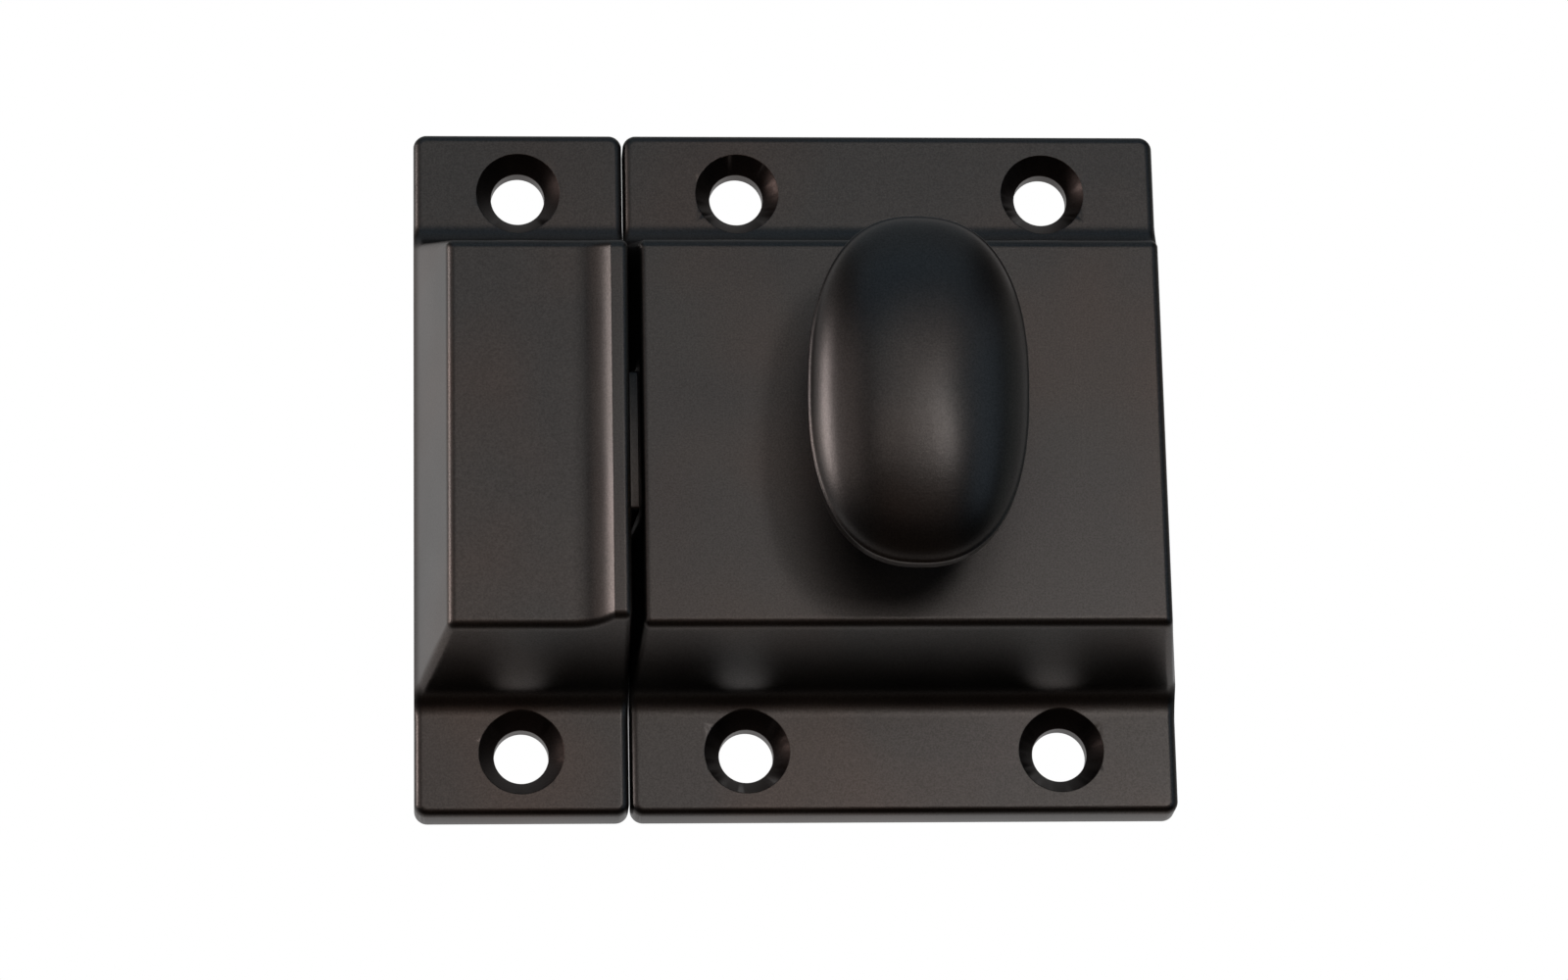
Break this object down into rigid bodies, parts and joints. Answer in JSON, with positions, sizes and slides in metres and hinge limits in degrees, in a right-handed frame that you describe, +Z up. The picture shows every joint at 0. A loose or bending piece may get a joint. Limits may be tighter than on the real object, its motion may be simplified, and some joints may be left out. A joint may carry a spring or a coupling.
{
  "type": "cupboard turn latch",
  "caption": "Cast cabinet door latch with an oval turn knob that draws a sprung bolt out of a separate cast catch.",
  "frame": {"origin": "on the knob's axis, at the back plane that lies against the door", "axes": "+X right, towards the latch case from the catch; +Z up; the front of the latch faces -Y"},
  "size_m": [0.0571, 0.0262, 0.054],
  "materials": {
    "bronze": "satin oil-rubbed bronze on cast brass",
    "steel": "plain zinc plated",
    "brass": "plain machined"
  },
  "bodies": {
    "case": {"latch_case": "bronze", "back_plate": "steel", "plate_screw_1": "steel", "plate_screw_2": "steel", "plate_screw_3": "steel", "plate_screw_4": "steel", "bolt_spring": "steel", "spring_guide_pin": "steel", "spindle_bush": "brass", "face_washer": "brass", "thrust_washer": "steel"},
    "knob": {"turn_knob": "bronze", "knob_spindle": "steel", "knob_set_screw": "steel", "bolt_cam": "steel", "cam_pin": "steel", "nut_washer": "steel", "spindle_nut": "brass"},
    "bolt": {"latch_bolt": "bronze"},
    "catch": {"catch_plate": "bronze"}
  },
  "joints": [
    {"name": "bolt_slide", "type": "slide", "parent": "case", "child": "bolt", "axis": [1, 0, 0], "range_m": [0, 0.00582], "stiffness_N_per_m": 300, "deforming": ["bolt_spring"]},
    {"name": "knob_turn", "type": "hinge", "parent": "case", "child": "knob", "pos_m": [0, 0, 0], "axis": [0, 1, 0], "range_deg": [0, 58]},
    {"name": "catch_release", "type": "slide", "parent": "case", "child": "catch", "axis": [-1, 0, 0], "range_m": [0, 0.012]}
  ],
  "couplings": [
    {"joint": "knob_turn", "follows": "bolt_slide", "rad_per_m": 174}
  ]
}
